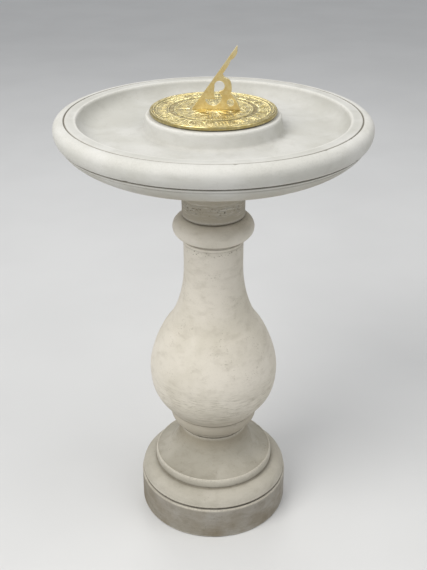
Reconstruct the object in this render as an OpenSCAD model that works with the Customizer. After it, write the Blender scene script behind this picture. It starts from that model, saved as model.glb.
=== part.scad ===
// Garden sundial: a cast-stone baluster pedestal carries a dished stone bowl,
// and a brass dial turns on the boss in the middle of the bowl.
// The origin is on the ground at the centre of the pedestal, and +Z is up.
// +X runs along the noon line, from the toe of the gnomon to its high end.

/* [Pedestal] */
// Radius of the drum that stands on the ground
plinth_r = 121.5; // [121:0.5:140]
// Height of the drum
plinth_h = 56.5; // [50:0.5:90]
// Height of the moulded foot
foot_h = 90; // [88:0.5:110]
// Radius of the foot where it sits on the drum
foot_r = 120; // [110:0.5:120.5]
// Height of the baluster, from its base band to the top of its collar
baluster_h = 367.5; // [360:0.5:420]
// Largest radius of the bulb
bulb_r = 101.5; // [90:0.5:115]
// Radius of the neck above the bulb
neck_r = 45.5; // [40:0.5:48]
// Largest radius of the collar round the top of the neck
collar_r = 61.5; // [55:0.1:70]

/* [Bowl] */
// Height of the bowl, from the foot of its stem to the top of its rim
bowl_h = 150; // [145:0.5:180]
// Outer radius of the rolled rim
rim_r = 224.4; // [222:0.1:240]
// Radius of the stem under the bowl
stem_r = 47.3; // [44:0.1:48]
// Depth of the dish below the rim
dish_depth = 21; // [15:0.5:26]
// Radius of the boss at its rounded top edge
boss_r = 96; // [93:0.5:110]
// Height of the boss above the rim
boss_rise = 2; // [0:0.5:8]

/* [Dial] */
// Radius of the brass plate
plate_r = 89.5; // [80:0.5:91]
// Thickness of the plate at its raised rim
plate_rim_t = 5.4; // [4.5:0.1:7]
// Thickness of the plate inside the rim
plate_t = 4.1; // [3.5:0.1:4.3]
// Width of the raised rim
plate_rim_w = 7; // [5:0.5:10]
// Latitude that the dial is made for, which is the slope of the gnomon's style
latitude = 55; // [50:1:58]
// Height of the gnomon's tip above the plate
gnomon_h = 88; // [80:1:100]
// Thickness of the gnomon
gnomon_t = 4.5; // [4:0.1:6]

/* [Joints and fixings] */
// Thickness of the mortar bed in each joint between stones
bed_t = 2; // [1:0.5:4]
// Radius of the two solid steel dowels
dowel_r = 8; // [6:0.5:9]
// Outer radius of the tube dowel under the bowl
tube_r = 18; // [17:0.5:18]
// Grout round each dowel, measured along the radius
grout_t = 3; // [2:0.5:3]
// Radius of the dial's stud
stud_r = 4; // [3:0.5:4]
// Running gap between the stud and its sleeve, along the radius
running_gap = 0.05; // [0.02:0.01:0.1]
// Thickness of the rubber pad under the plate
pad_t = 1.2; // [1:0.1:3]

/* [Hidden] */

$fn = 96;
// Straight pieces in one curved stretch of an outline
steps = 12;
// A little extra length that carries a cut cleanly through a face
cut = 1;

// Levels of the stones, from the ground up
foot_z = plinth_h + bed_t;
baluster_z = foot_z + foot_h + bed_t;
bowl_z = baluster_z + baluster_h + bed_t;
rim_z = bowl_z + bowl_h;
boss_z = rim_z + boss_rise;
plate_z = boss_z + pad_t;
field_z = plate_z + plate_t;

// Joint rims: each mortar bed stops a little inside the stones' faces
bed_recess = 3.5;
foot_top_r = 54.5;
lower_bed_r = foot_r - bed_recess;
middle_bed_r = foot_top_r - bed_recess;
upper_bed_r = stem_r - bed_recess;

// Dowels: how far each runs into the stones that it joins
dowel_reach = 34;
tube_reach = 40;
tube_wall = 2;

// Packers: plastic discs that hold the joints open while the mortar sets
packer_r = 6;
lower_packer_pcr = 90;
middle_packer_pcr = 36;
upper_packer_pcr = 31;

// The stud runs down through the bowl into a pocket, where its nut and washers pull it tight
pocket_depth = 80;
pocket_r = tube_r + grout_t;
pocket_top = bowl_z + pocket_depth;
sleeve_r = 6.5;
sleeve_flange_r = 11;
sleeve_flange_t = 1;
well_r = 16;
well_depth = 12;
thrust_washer_t = 1.6;
spring_washer_t = 1.8;
spring_washer_dish = 0.8;
washer_r = 12;
washer_gap = 0.3;
nut_af = 13;
stud_nut_h = 8;
lock_nut_h = 4;
stud_end = 4;
stud_top = 1.6;
hub_r = 9;
hub_h = 6;

// Gnomon: the toe of the style lies south of the plate's centre
toe_x = -30;
heel_x = 38.5;
screw_r = 1.5;
screw_head_r = 2.8;
screw_head_h = 1.6;
screw_grip = 6.5;
screw_xs = [-17, 31.3];

// ---- Outline helpers -------------------------------------------------------

// A cubic curve from a to d, pulled towards b and c
function curve(a, b, c, d, n = steps) = [
    for (i = [0:n])
        let (t = i / n, s = 1 - t)
            s * s * s * a + 3 * t * s * s * b + 3 * t * t * s * c + t * t * t * d
];

// An elliptical arc with centre [x, z] and half-axes [a, b], from angle v0 to v1
function oval(x, z, a, b, v0, v1, n = steps) = [
    for (i = [0:n])
        let (v = v0 + (v1 - v0) * i / n)
            [x + a * cos(v), z + b * sin(v)]
];

// A ring with square edges
module ring(outer, inner, z, height) {
    translate([0, 0, z])
        rotate_extrude()
            translate([inner, 0])
                square([outer - inner, height]);
}

// Three places spaced evenly round a circle
module at_thirds(radius) {
    for (v = [30, 150, 270])
        rotate(v)
            translate([radius, 0, 0])
                children();
}

// A hexagonal nut on the stud, resting at height z
module nut(z, height) {
    across_corners_r = nut_af / 2 / cos(30);
    chamfer = 0.8;
    translate([0, 0, z])
        difference() {
            intersection() {
                cylinder(r = across_corners_r, h = height, $fn = 6);
                rotate_extrude()
                    polygon([
                        [0, 0], [nut_af / 2, 0], [across_corners_r, chamfer],
                        [across_corners_r, height - chamfer], [nut_af / 2, height], [0, height]
                    ]);
            }
            translate([0, 0, -cut])
                cylinder(r = stud_r, h = height + 2 * cut);
        }
}

// ---- Stones ----------------------------------------------------------------

// The drum on the ground, with eased edges and a blind dowel hole in its top
module plinth() {
    ease = 2.5;
    color([0.53, 0.51, 0.46])
        difference() {
            rotate_extrude()
                polygon(concat(
                    [[0, 0]],
                    oval(plinth_r - ease, ease, ease, ease, -90, 0, 4),
                    oval(plinth_r - ease, plinth_h - ease, ease, ease, 0, 90, 4),
                    [[0, plinth_h]]
                ));
            translate([0, 0, plinth_h - dowel_reach])
                cylinder(r = dowel_r + grout_t, h = dowel_reach + cut);
        }
}

// The moulded foot: an ovolo, a bead, and a scotia that sweeps up to the baluster
module foot() {
    ovolo_h = 21.5;
    bead_r = 96.5;
    bead_top = 38.5;
    lip_w = 3.2;
    color([0.70, 0.68, 0.62])
        difference() {
            translate([0, 0, foot_z])
                rotate_extrude()
                    polygon(concat(
                        [[0, 0]],
                        curve([foot_r, 0], [foot_r, 13], [109, ovolo_h], [bead_r, ovolo_h]),
                        curve([bead_r - 0.8, ovolo_h + 1], [bead_r + 1.4, 26],
                            [bead_r + 1.2, 33], [bead_r - 0.7, bead_top - 1.5], 8),
                        curve([bead_r - 0.7, bead_top - 1.5], [bead_r - 1, bead_top],
                            [bead_r - lip_w + 1, bead_top + 0.4], [bead_r - lip_w, bead_top - 0.6], 5),
                        curve([bead_r - lip_w - 1, bead_top - 0.7], [73, 40], [57.5, 57],
                            [foot_top_r, foot_h]),
                        [[0, foot_h]]
                    ));
            translate([0, 0, foot_z - cut])
                cylinder(r = dowel_r + grout_t, h = dowel_reach + cut);
            translate([0, 0, foot_z + foot_h - dowel_reach])
                cylinder(r = dowel_r + grout_t, h = dowel_reach + cut);
        }
}

// The turned shaft: base band, ring, bulb, neck and collar
module baluster() {
    band_r = 57;
    band_top = 9;
    crease = 32.5;
    bulb_mid = 108;
    shoulder = [70.8, 192];
    neck_z = 286;
    collar_half = 17.2;
    collar_mid = baluster_h - 17;
    collar_core = 43;
    collar_a = collar_r - collar_core;
    color([0.80, 0.78, 0.72])
        difference() {
            translate([0, 0, baluster_z])
                rotate_extrude()
                    polygon(concat(
                        [[0, 0], [band_r - 0.8, 0], [band_r, 0.8], [band_r, band_top]],
                        curve([63.5, band_top + 1.5], [68, 13], [71.5, 23], [70, crease - 1.5], 8),
                        [[68.6, crease]],
                        curve([72.4, crease + 1.8], [88, 56], [bulb_r, 66], [bulb_r, bulb_mid]),
                        curve([bulb_r, bulb_mid], [bulb_r, 135], [84.2, 175.5], shoulder),
                        curve(shoulder, [59, 206.5], [neck_r, 244], [neck_r, neck_z]),
                        [
                            [neck_r, baluster_h - 42], [neck_r + 1.3, baluster_h - 40.5],
                            [neck_r + 1.3, baluster_h - 38], [neck_r + 0.4, baluster_h - 37]
                        ],
                        oval(collar_core, collar_mid, collar_a, collar_half, -76, 77, 18),
                        [[collar_core + 3.4, baluster_h], [0, baluster_h]]
                    ));
            translate([0, 0, baluster_z - cut])
                cylinder(r = dowel_r + grout_t, h = dowel_reach + cut);
            translate([0, 0, baluster_z + baluster_h - tube_reach])
                cylinder(r = pocket_r, h = tube_reach + cut);
        }
}

// The bowl: stem, ogee underside, rolled rim, dish and the raised boss for the dial
module bowl() {
    step_z = 29;
    flare = [stem_r + 1.2, step_z + 1.6];
    belly = [100, bowl_h - 82];
    skirt = [187, bowl_h - 56.5];
    lip_z = bowl_h - 28.5;
    roll_z = bowl_h - 13;
    roll_top_r = rim_r - 13.4;
    line_r = rim_r - 16.4;
    line_w = 1.1;
    line_depth = 1.8;
    band_in_r = rim_r - 30.4;
    floor_z = bowl_h - dish_depth;
    top = bowl_h + boss_rise;
    color([0.83, 0.82, 0.78])
        difference() {
            translate([0, 0, bowl_z])
                rotate_extrude()
                    polygon(concat(
                        [[0, 0], [stem_r - 0.8, 0], [stem_r, 0.8], [stem_r, step_z],
                            [stem_r + 0.9, step_z + 0.9]],
                        curve(flare, [flare.x + 1.2, 46], [66, bowl_h - 90], belly),
                        curve(belly, [130, bowl_h - 75], [160, bowl_h - 66], skirt, 6),
                        curve(skirt, [199, bowl_h - 50.5], [rim_r - 13.4, bowl_h - 42],
                            [rim_r - 7.4, lip_z - 3]),
                        [[rim_r - 8.6, lip_z - 2], [rim_r - 8.6, lip_z - 1]],
                        curve([rim_r - 4.9, lip_z], [rim_r - 1.4, lip_z + 4.5],
                            [rim_r, roll_z - 6], [rim_r, roll_z], 8),
                        curve([rim_r, roll_z], [rim_r, roll_z + 7.5],
                            [rim_r - 5.4, bowl_h], [roll_top_r, bowl_h]),
                        [
                            [line_r + line_w, bowl_h], [line_r + 0.3, bowl_h - line_depth],
                            [line_r - 0.3, bowl_h - line_depth], [line_r - line_w, bowl_h]
                        ],
                        curve([band_in_r, bowl_h], [band_in_r - 2, bowl_h],
                            [band_in_r - 3, bowl_h - 1.2], [band_in_r - 3.5, bowl_h - 3.5], 6),
                        curve([band_in_r - 3.5, bowl_h - 3.5], [band_in_r - 5, bowl_h - 13],
                            [band_in_r - 13, floor_z + 0.5], [band_in_r - 29, floor_z]),
                        curve([boss_r + 8, floor_z], [boss_r + 4, floor_z],
                            [boss_r + 2.4, floor_z + 1.5], [boss_r + 2, floor_z + 5], 6),
                        curve([boss_r, top - 4], [boss_r - 0.2, top - 1.5],
                            [boss_r - 1.5, top], [boss_r - 4, top], 6),
                        [[0, top]]
                    ));
            // Pocket in the stem for the tube dowel and the stud's nut
            translate([0, 0, bowl_z - cut])
                cylinder(r = pocket_r, h = pocket_depth + cut);
            // Hole for the sleeve
            translate([0, 0, pocket_top - cut])
                cylinder(r = sleeve_r, h = boss_z - pocket_top + 2 * cut);
            // Well under the plate for the hub, the lock nut and the sleeve's flange
            translate([0, 0, boss_z - well_depth])
                cylinder(r = well_r, h = well_depth + cut);
        }
}

// ---- Mortar, packers and dowels ----------------------------------------------

// A mortar bed at height z with its grout round a dowel, and holes for the packers
module bed(z, outer, inner, grout_outer, reach, packer_pcr) {
    difference() {
        union() {
            ring(outer, inner, z, bed_t);
            ring(grout_outer, inner, z - reach, 2 * reach + bed_t);
        }
        at_thirds(packer_pcr)
            translate([0, 0, z - cut])
                cylinder(r = packer_r, h = bed_t + 2 * cut);
    }
}

module lower_bed() {
    color([0.36, 0.34, 0.30])
        bed(plinth_h, lower_bed_r, dowel_r, dowel_r + grout_t, dowel_reach, lower_packer_pcr);
}

module middle_bed() {
    color([0.40, 0.38, 0.34])
        bed(foot_z + foot_h, middle_bed_r, dowel_r, dowel_r + grout_t, dowel_reach, middle_packer_pcr);
}

module upper_bed() {
    color([0.40, 0.38, 0.34])
        bed(bowl_z - bed_t, upper_bed_r, tube_r, pocket_r, tube_reach, upper_packer_pcr);
}

// Three packers in one joint
module packers(z, packer_pcr) {
    color([0.25, 0.27, 0.30])
        at_thirds(packer_pcr)
            translate([0, 0, z])
                cylinder(r = packer_r, h = bed_t);
}

// A solid dowel across the joint whose bed starts at height z
module dowel(z) {
    color([0.72, 0.73, 0.75])
        translate([0, 0, z - dowel_reach])
            cylinder(r = dowel_r, h = 2 * dowel_reach + bed_t);
}

module tube_dowel() {
    color([0.72, 0.73, 0.75])
        ring(tube_r, tube_r - tube_wall, bowl_z - bed_t - tube_reach, 2 * tube_reach + bed_t);
}

// ---- Dial fixings --------------------------------------------------------------

// A flanged brass sleeve that lines the stud's hole
module stud_sleeve() {
    flange_z = boss_z - well_depth;
    color([0.72, 0.60, 0.30])
        union() {
            ring(sleeve_r, stud_r + running_gap, pocket_top, flange_z - pocket_top);
            ring(sleeve_flange_r, stud_r + running_gap, flange_z, sleeve_flange_t);
        }
}

// A flat washer against the ceiling of the pocket
module thrust_washer() {
    color([0.75, 0.76, 0.78])
        ring(washer_r, stud_r + washer_gap, pocket_top - thrust_washer_t, thrust_washer_t);
}

// A dished spring washer that keeps the dial stiff to turn
module spring_washer() {
    top = pocket_top - thrust_washer_t;
    inner = stud_r + washer_gap;
    outer = washer_r - 2;
    thick = spring_washer_t - spring_washer_dish;
    color([0.55, 0.56, 0.58])
        translate([0, 0, top - spring_washer_t])
            rotate_extrude()
                polygon([
                    [inner, 0], [inner + 1.2, 0], [outer, spring_washer_dish],
                    [outer, spring_washer_t], [outer - 1.2, spring_washer_t], [inner, thick]
                ]);
}

// A rubber ring on the boss that the plate bears on
module pad_ring() {
    color([0.12, 0.12, 0.12])
        ring(plate_r - 6, 40, boss_z, pad_t);
}

// The stud, with a chamfered lower end, screwed into the plate's hub
module dial_stud() {
    bottom = pocket_top - thrust_washer_t - spring_washer_t - stud_nut_h - stud_end;
    chamfer = 1;
    height = plate_z + stud_top - bottom;
    color([0.75, 0.63, 0.33])
        translate([0, 0, bottom])
            rotate_extrude()
                polygon([
                    [0, 0], [stud_r - chamfer, 0], [stud_r, chamfer], [stud_r, height], [0, height]
                ]);
}

module stud_nut() {
    color([0.72, 0.73, 0.75])
        nut(pocket_top - thrust_washer_t - spring_washer_t - stud_nut_h, stud_nut_h);
}

module lock_nut() {
    color([0.75, 0.63, 0.33])
        nut(plate_z - hub_h - lock_nut_h, lock_nut_h);
}

// ---- Dial ----------------------------------------------------------------------

// The round plate: raised rim, sunk field, and a hub underneath that holds the stud
module dial_plate() {
    half = plate_rim_t / 2;
    rim_in_r = plate_r - plate_rim_w;
    color([0.78, 0.70, 0.45])
        difference() {
            translate([0, 0, plate_z])
                union() {
                    rotate_extrude()
                        polygon(concat(
                            [[0, 0]],
                            oval(plate_r - 1.8, half, 1.8, half, -90, 90, 8),
                            [[rim_in_r + 1, plate_rim_t], [rim_in_r, plate_t], [0, plate_t]]
                        ));
                    translate([0, 0, -hub_h])
                        cylinder(r = hub_r, h = hub_h + cut);
                }
            // Blind hole for the stud
            translate([0, 0, plate_z - hub_h - cut])
                cylinder(r = stud_r, h = hub_h + cut + stud_top);
            // Holes and countersinks for the gnomon's screws
            for (x = screw_xs)
                translate([x, 0, plate_z])
                    screw_shape(plate_t + cut, cut);
        }
}

// A countersunk screw standing on its head: shank up to height, head run down by below
module screw_shape(height, below) {
    rotate_extrude()
        polygon([
            [0, -below], [screw_head_r, -below], [screw_head_r, 0.2],
            [screw_r, screw_head_h], [screw_r, height], [0, height]
        ]);
}

module gnomon_screws() {
    color([0.75, 0.63, 0.33])
        for (x = screw_xs)
            translate([x, 0, plate_z])
                screw_shape(plate_t + screw_grip, 0);
}

// The flat outline of the gnomon, with x along the noon line and y for height
module gnomon_outline() {
    tip_x = toe_x + gnomon_h / tan(latitude);
    lobe = [8.4, 33];
    lobe_r = 7.2;
    crescent = [-0.6, 14.6];
    crescent_r = 11.4;
    crescent_drop = 9;
    eye = [23.8, 10.2];
    eye_r = 5.1;
    difference() {
        polygon(concat(
            [[toe_x, 0], [tip_x - 0.6, gnomon_h - 0.9], [tip_x, gnomon_h], [tip_x + 1, gnomon_h - 0.8]],
            curve([tip_x + 1, gnomon_h - 7], [tip_x + 0.4, gnomon_h - 14],
                [tip_x - 5, gnomon_h - 18], [tip_x - 8, gnomon_h - 19.5], 8),
            curve([tip_x - 9.6, gnomon_h - 24], [tip_x - 12.8, gnomon_h - 30],
                [tip_x - 16.6, gnomon_h - 35], [tip_x - 19, gnomon_h - 38.5], 6),
            curve([15, 45.4], [18, 43.8], [21.5, 42.8], [22.5, 41], 5),
            curve([22.5, 41], [25.4, 37], [25.6, 30], [25, 24.6], 6),
            curve([23.8, 23], [30, 18.5], [35.5, 8], [heel_x - 0.8, 0.6], 8),
            [[heel_x, 0]]
        ));
        // Scroll opening: a round lobe, a channel with a hooked tongue, and a crescent
        translate(lobe)
            circle(r = lobe_r);
        polygon(concat(
            curve([lobe.x - lobe_r * 0.95, lobe.y - 2], [0.6, 27], [-0.6, 22], [2.8, 13.4], 8),
            [[4.6, crescent.y - 3], [10.2, crescent.y - 2], [11.8, crescent.y + 2.6]],
            curve([11.6, 18.4], [10.4, 21], [8.4, 22.6], [7.6, 24.6], 6),
            [[lobe.x, lobe.y - lobe_r + 1]]
        ));
        intersection() {
            translate([crescent.x, crescent.y + crescent_r - crescent_drop])
                circle(r = crescent_r);
            translate([crescent.x - crescent_r, crescent.y - crescent_r])
                square([2 * crescent_r, crescent_r]);
        }
        translate(eye)
            circle(r = eye_r);
    }
}

// The gnomon: a flat casting with a pierced scroll, drilled from below for its screws
module gnomon() {
    color([0.86, 0.78, 0.52])
        difference() {
            translate([0, gnomon_t / 2, field_z])
                rotate([90, 0, 0])
                    linear_extrude(gnomon_t)
                        gnomon_outline();
            for (x = screw_xs)
                translate([x, 0, field_z - cut])
                    cylinder(r = screw_r, h = screw_grip + cut);
        }
}

plinth();
foot();
baluster();
bowl();
lower_bed();
middle_bed();
upper_bed();
packers(plinth_h, lower_packer_pcr);  // lower_packers
packers(foot_z + foot_h, middle_packer_pcr);  // middle_packers
packers(bowl_z - bed_t, upper_packer_pcr);  // upper_packers
dowel(plinth_h);  // lower_dowel
dowel(foot_z + foot_h);  // middle_dowel
tube_dowel();
stud_sleeve();
thrust_washer();
spring_washer();
pad_ring();
dial_stud();
stud_nut();
lock_nut();
dial_plate();
gnomon();
gnomon_screws();
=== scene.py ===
"""Garden sundial: a cast-stone pedestal and bowl with a turning brass dial, dressed round the CAD frame."""
import itertools
import math

import bpy
import numpy as np
from mathutils import Euler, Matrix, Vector


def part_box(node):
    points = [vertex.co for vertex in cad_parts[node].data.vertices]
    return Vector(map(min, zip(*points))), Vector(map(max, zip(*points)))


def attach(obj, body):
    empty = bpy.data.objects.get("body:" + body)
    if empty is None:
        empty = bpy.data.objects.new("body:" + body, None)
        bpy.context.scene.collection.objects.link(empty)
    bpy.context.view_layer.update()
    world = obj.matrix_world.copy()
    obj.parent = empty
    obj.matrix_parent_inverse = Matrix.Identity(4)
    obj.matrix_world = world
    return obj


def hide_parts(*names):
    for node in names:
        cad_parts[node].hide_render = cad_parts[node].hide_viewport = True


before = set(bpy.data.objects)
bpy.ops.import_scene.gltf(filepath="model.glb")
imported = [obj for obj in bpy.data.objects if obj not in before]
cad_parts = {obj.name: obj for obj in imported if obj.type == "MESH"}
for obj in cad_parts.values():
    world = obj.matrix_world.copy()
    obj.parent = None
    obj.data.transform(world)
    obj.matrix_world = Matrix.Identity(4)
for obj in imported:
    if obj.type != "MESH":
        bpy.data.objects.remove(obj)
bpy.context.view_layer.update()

MM = 0.001

# ---- Camera and stage ------------------------------------------------------------
CAMERA_AZIMUTH = math.radians(5.0)
CAMERA_DISTANCE = 1.1997
CAMERA_ABOVE_RIM = 0.3517
CAMERA_PITCH = math.radians(27.38)
CAMERA_LENS = 55.33
CAMERA_SENSOR = 36.0
FLOOR_SIZE = 14.0

# ---- Levels and sizes read from the frame ------------------------------------------
GROUND_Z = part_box("plinth")[0].z
BOSS_RISE = 2 * MM
RIM_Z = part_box("bowl")[1].z - BOSS_RISE
FOOT_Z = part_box("foot")[0].z
BALUSTER_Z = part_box("baluster")[0].z
COLLAR_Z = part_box("baluster")[1].z
STEM_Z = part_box("bowl")[0].z
PLATE_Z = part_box("pad_ring")[1].z
PLATE_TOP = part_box("dial_plate")[1].z
PLATE_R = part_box("dial_plate")[1].x
FIELD_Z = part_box("gnomon")[0].z
TOE_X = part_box("gnomon")[0].x
HEEL_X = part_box("gnomon")[1].x
GNOMON_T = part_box("gnomon")[1].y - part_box("gnomon")[0].y
STUD_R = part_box("dial_stud")[1].x
STUD_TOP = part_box("dial_stud")[1].z


# ---- Small helpers -------------------------------------------------------------------
def rgb(red, green, blue):
    """A display colour from 0 to 255 as the linear colour a shader takes"""
    scaled = [v / 255 for v in (red, green, blue)]
    linear = [v / 12.92 if v <= 0.04045 else ((v + 0.055) / 1.055) ** 2.4 for v in scaled]
    return (*linear, 1.0)


def ease(t):
    """A smooth step: 0 below 0, 1 above 1, and an S-curve between"""
    t = np.clip(t, 0, 1)
    return t * t * (3 - 2 * t)


def soft_noise(points, size, seed):
    """Smooth random values from -1 to 1 at 3-D points, with bumps about size metres across"""
    table = np.random.default_rng(seed).uniform(-1, 1, (32, 32, 32))
    at = points / size
    cell = np.floor(at).astype(int)
    part = ease(at - cell)
    total = np.zeros(len(points))
    for corner in itertools.product((0, 1), repeat=3):
        weight = np.prod(np.where(corner, part, 1 - part), axis=1)
        i, j, k = ((cell + corner) % 32).T
        total += weight * table[i, j, k]
    return total


def blurred(values, sigma, step, closed):
    """Rows of numbers along a line, averaged over a bell of width sigma"""
    reach = max(1, int(3 * sigma / step))
    bell = np.exp(-0.5 * (np.arange(-reach, reach + 1) * step / sigma) ** 2)
    bell /= bell.sum()
    padded = np.pad(values, ((reach, reach), (0, 0)), mode="wrap" if closed else "reflect",
                    **({} if closed else {"reflect_type": "odd"}))
    return np.column_stack([np.convolve(column, bell, "valid") for column in padded.T])


# ---- Outlines of the turned stones -----------------------------------------------------
# Points closer than SAME_POINT are one; a corner turns by more than SHARP_TURN. The scribed line is
# the faint one just under the bowl's rim, which only the bowl is wide enough to reach.
SAME_POINT = 0.01 * MM
SHARP_TURN = math.radians(17)
FINE_STEP = 0.25 * MM
EDGE_SOFTNESS = 0.38 * MM
ROW_STEP = 2.8 * MM
ROW_TURN = math.radians(11)
HIDDEN_ROW_STEP = 25 * MM
CREASE_REACH = 3.5 * MM
LINE_REACH = 1.2 * MM
LINE_SPREAD = 1.3 * MM
LINE_GAIN = 2.4
CUT_START = 0.22 * MM
CUT_RANGE = 0.2 * MM
SCRIBE_DEPTH = 0.7 * MM
SCRIBE_WIDTH = 0.8 * MM
SCRIBE_Z = RIM_Z - 35.5 * MM
SCRIBE_R = 180 * MM


def turned_outline(node):
    """The outline (radius, height) of a turned CAD node in order, and whether it closes on itself"""
    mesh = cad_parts[node].data
    co = np.empty(len(mesh.vertices) * 3)
    mesh.vertices.foreach_get("co", co)
    co = co.reshape(-1, 3)
    rz = np.column_stack([np.hypot(co[:, 0], co[:, 1]), co[:, 2]])
    points, index = np.unique(np.round(rz, 6), axis=0, return_inverse=True)
    group = np.arange(len(points))
    for n, point in enumerate(points):
        near = np.hypot(*(points - point).T) < SAME_POINT
        group[near] = group[near].min()
    ends = np.empty(len(mesh.edges) * 2, int)
    mesh.edges.foreach_get("vertices", ends)
    links = {}
    for a, b in group[index.reshape(-1)[ends.reshape(-1, 2)]]:
        if a != b:
            links.setdefault(a, set()).add(b)
            links.setdefault(b, set()).add(a)
    open_ends = [n for n in links if len(links[n]) == 1]
    path = [open_ends[0] if open_ends else min(links)]
    while True:
        here = path[-1]
        unused = [n for n in links[here] if n not in path]
        if not unused:
            break
        path.append(min(unused, key=lambda n: np.hypot(*(points[n] - points[here]))))
    outline = points[path]
    around = outline if not open_ends else np.vstack([[0, outline[0, 1]], outline, [0, outline[-1, 1]]])
    r, z = around.T
    area = np.sum(r * np.roll(z, -1) - np.roll(r, -1) * z)
    return (outline if area > 0 else outline[::-1]), not open_ends


def smooth_outline(points, closed):
    """The outline sampled finely, with its gentle turns made round and its sharp corners just eased"""
    count = len(points)
    ahead = np.roll(points, -1, 0) - points
    length = np.hypot(*ahead.T)
    way = ahead / length[:, None]
    back_way = np.roll(way, 1, 0)
    back_length = np.roll(length, 1)
    turn = np.arccos(np.clip(np.sum(way * back_way, 1), -1, 1))
    mean = way * back_length[:, None] + back_way * length[:, None]
    mean /= np.maximum(np.hypot(*mean.T), 1e-12)[:, None]
    sharp = turn > SHARP_TURN
    if not closed:
        sharp[[0, -1]] = True
    pull = 1.5 * np.minimum(length, back_length)
    fine = []
    for n in range(count if closed else count - 1):
        m = (n + 1) % count
        start = way[n] * length[n] if sharp[n] else mean[n] * min(length[n], pull[n])
        stop = way[n] * length[n] if sharp[m] else mean[m] * min(length[n], pull[m])
        t = np.arange(0, 1, FINE_STEP / length[n])[:, None]
        fine.append(points[n] * (2 * t**3 - 3 * t**2 + 1) + start * (t**3 - 2 * t**2 + t)
                    + points[m] * (3 * t**2 - 2 * t**3) + stop * (t**3 - t**2))
    if not closed:
        fine.append(points[-1:])
    return blurred(np.vstack(fine), EDGE_SOFTNESS, FINE_STEP, closed)


def scribed(fine, level, inner_r):
    """The fine outline with a shallow line cut round it at one height, where it is outside inner_r"""
    r, z = fine.T
    way = np.roll(fine, -1, 0) - np.roll(fine, 1, 0)
    way /= np.hypot(*way.T)[:, None]
    depth = SCRIBE_DEPTH * np.exp(-(((z - level) / SCRIBE_WIDTH) ** 2)) * (r > inner_r)
    return fine - depth[:, None] * np.column_stack([way[:, 1], -way[:, 0]])


def picked_rows(fine, closed, seen):
    """Rows from a fine outline, close together where it turns and far apart where it is hidden.
    Each row is radius, height, the outward direction, how much it is a crease (+) or an edge (-),
    and how near it is to a cut line."""
    step = (np.roll(fine, -1, 0) - np.roll(fine, 1, 0)) / 2
    if not closed:
        step[[0, -1]] = step[[1, -2]]
    length = np.hypot(*step.T)
    way = step / length[:, None]
    outward = np.column_stack([way[:, 1], -way[:, 0]])
    bend, near_bend = (np.sum((blurred(fine, reach, FINE_STEP, closed) - fine) * outward, 1)
                       for reach in (CREASE_REACH, LINE_REACH))
    cut = ease((near_bend - CUT_START) / CUT_RANGE)[:, None]
    line = np.clip(LINE_GAIN * blurred(cut, LINE_SPREAD, FINE_STEP, closed)[:, 0], 0, 1)
    turn = np.abs(np.cross(way, np.roll(way, -1, 0)))
    turn[[0, -1]] = 0
    dense = np.where(seen(*fine.T), length / ROW_STEP + turn / ROW_TURN, length / HIDDEN_ROW_STEP + turn)
    travel = np.cumsum(dense)
    stops = np.linspace(0, travel[-1], int(travel[-1]) + 1)
    if closed:
        stops = stops[:-1]
    facts = np.column_stack([fine, outward, bend, line])
    return np.column_stack([np.interp(stops, travel, column) for column in facts.T])


def turned_mesh(name, radius, height, closed, extra=None):
    """A mesh of rows x segments points, from arrays of radius and height, closed round the axis"""
    rows, segments = radius.shape
    angle = np.arange(segments) * 2 * math.pi / segments
    points = np.stack([radius * np.cos(angle), radius * np.sin(angle), height], -1).reshape(-1, 3)
    row = np.arange(rows if closed else rows - 1)[:, None]
    seg = np.arange(segments)[None, :]
    below, above = row * segments, (row + 1) % rows * segments
    after = (seg + 1) % segments
    quads = np.stack([below + seg, below + after, above + after, above + seg], -1).reshape(-1, 4)
    faces = quads.tolist()
    if not closed:
        for start, flip in ((0, True), ((rows - 1) * segments, False)):
            centre = len(points)
            points = np.vstack([points, [0, 0, points[start:start + segments, 2].mean()]])
            for s in range(segments):
                pair = [start + s, start + (s + 1) % segments]
                faces.append([*(pair[::-1] if flip else pair), centre])
    mesh = bpy.data.meshes.new(name)
    mesh.from_pydata(points.tolist(), [], faces)
    mesh.shade_smooth()
    for key, values in (extra or {}).items():
        full = np.zeros(len(points))
        full[:values.size] = values.reshape(-1)
        mesh.attributes.new(key, "FLOAT", "POINT").data.foreach_set("value", full.astype(np.float32))
    mesh.validate()
    return mesh


# ---- Stones --------------------------------------------------------------------------------
# How big the casting's unevenness is, and how deep it sinks below the CAD surface
WAVE_SIZE = 60 * MM
WAVE_DEPTH = 0.35 * MM
RIPPLE_SIZE = 10 * MM
RIPPLE_DEPTH = 0.20 * MM
CHIP_SIZE = 9 * MM
CHIP_GRAIN = 3 * MM
CHIP_DEPTH = 0.9 * MM
CHIP_START = 0.62
CHIP_RANGE = 0.25
CHIP_ROUGHNESS = 0.3
CHIPPED_EDGE = 0.5 * MM
DENT_SIZES = (1.6 * MM, 4.2 * MM)
DENT_DEPTH = 0.14
CREASE_DEPTH = 0.9 * MM
EDGE_HEIGHT = 0.7 * MM
# Points round each stone, the seed of its random draws, and how many dents it has
STONE_DETAIL = {
    "plinth": (380, 11, 30),
    "foot": (380, 12, 26),
    "baluster": (340, 13, 40),
    "bowl": (420, 14, 50),
}
# Inside these radii a stone shows nothing: only joint faces, holes and what the dial covers
PLINTH_CORE = 60 * MM
FOOT_CORE = 48 * MM
BALUSTER_CORE = 40 * MM
BOWL_CORE = 40 * MM
UNDER_DIAL_R = 84 * MM
BOSS_DEPTH = 5 * MM


def stone_side(core):
    """Tells the shown part of a stone from the rest: all that is outside radius core"""
    return lambda r, z: r > core


def bowl_side(r, z):
    """The shown part of the bowl: all but its core and the boss's face under the dial"""
    under_dial = (r < UNDER_DIAL_R) & (z > RIM_Z - BOSS_DEPTH)
    return ~(under_dial | (r < BOWL_CORE))


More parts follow.
